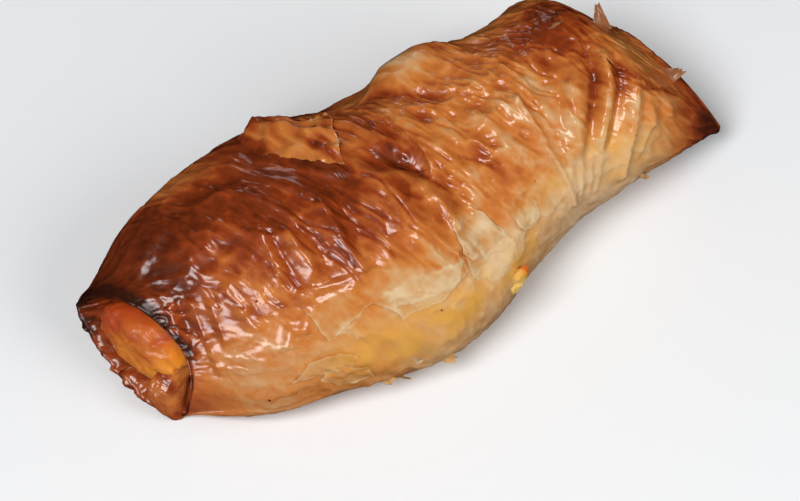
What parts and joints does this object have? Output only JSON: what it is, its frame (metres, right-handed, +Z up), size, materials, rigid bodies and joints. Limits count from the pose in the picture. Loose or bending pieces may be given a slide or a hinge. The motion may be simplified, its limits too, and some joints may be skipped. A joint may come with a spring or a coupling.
{
  "type": "sausage borek",
  "caption": "Baked roll of glossy, flaky pastry sheets wrapped round a sausage, which shows at the roll's open end.",
  "frame": {"origin": "middle of the footprint's bounding box, on the surface that the roll rests on", "axes": "+X along the roll away from the open end that shows the sausage, +Y across the roll to the far side, +Z up"},
  "size_m": [0.1828, 0.0836, 0.0572],
  "materials": {
    "crust": "egg-washed baked pastry, glossy brown on top, pale cream low on the sides",
    "sausage": "moist orange-red sausage skin",
    "melted_cheese": "greasy yellow melted cheese"
  },
  "bodies": {
    "root": {"pastry": "crust", "sausage": "sausage", "cheese_drop": "melted_cheese"}
  },
  "joints": []
}
